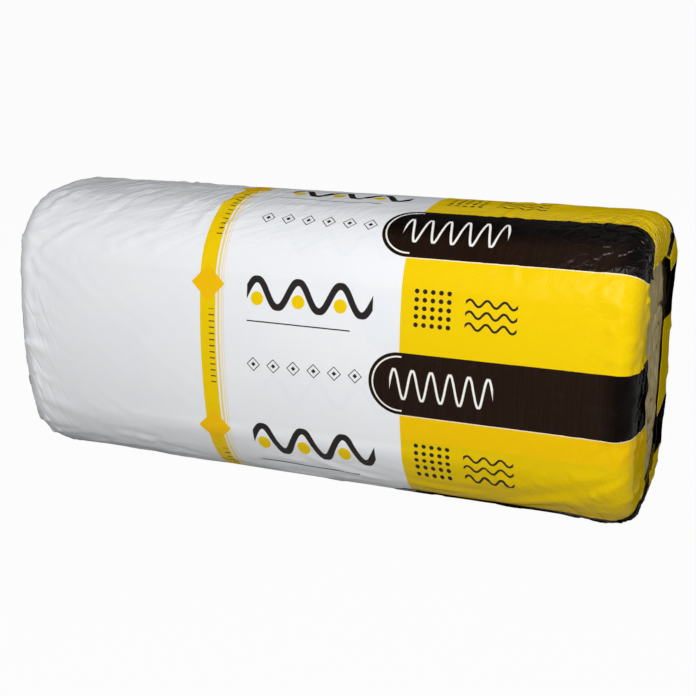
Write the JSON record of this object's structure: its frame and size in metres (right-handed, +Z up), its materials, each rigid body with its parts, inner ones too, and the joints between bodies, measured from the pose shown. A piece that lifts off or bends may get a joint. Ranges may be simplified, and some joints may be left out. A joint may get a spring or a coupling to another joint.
{
  "type": "insulation roll",
  "caption": "Glass-wool mat wound into a roll, pressed oval and held in a printed film sleeve that leaves a tall mouth at each end; it lies on its flattened side",
  "frame": {"origin": "on the floor under the middle of the roll", "axes": "+X along the roll towards the end that the picture shows open, +Y across it, away from the pictured side, +Z up"},
  "size_m": [1.21, 0.406, 0.5419],
  "materials": {
    "glass_wool": "fibrous, matt, uncoated glass wool",
    "printed_film": "thin glossy polyethylene film printed in white, yellow and dark brown"
  },
  "bodies": {
    "root": {"wool_roll": "glass_wool", "film_sleeve": "printed_film"}
  },
  "joints": []
}
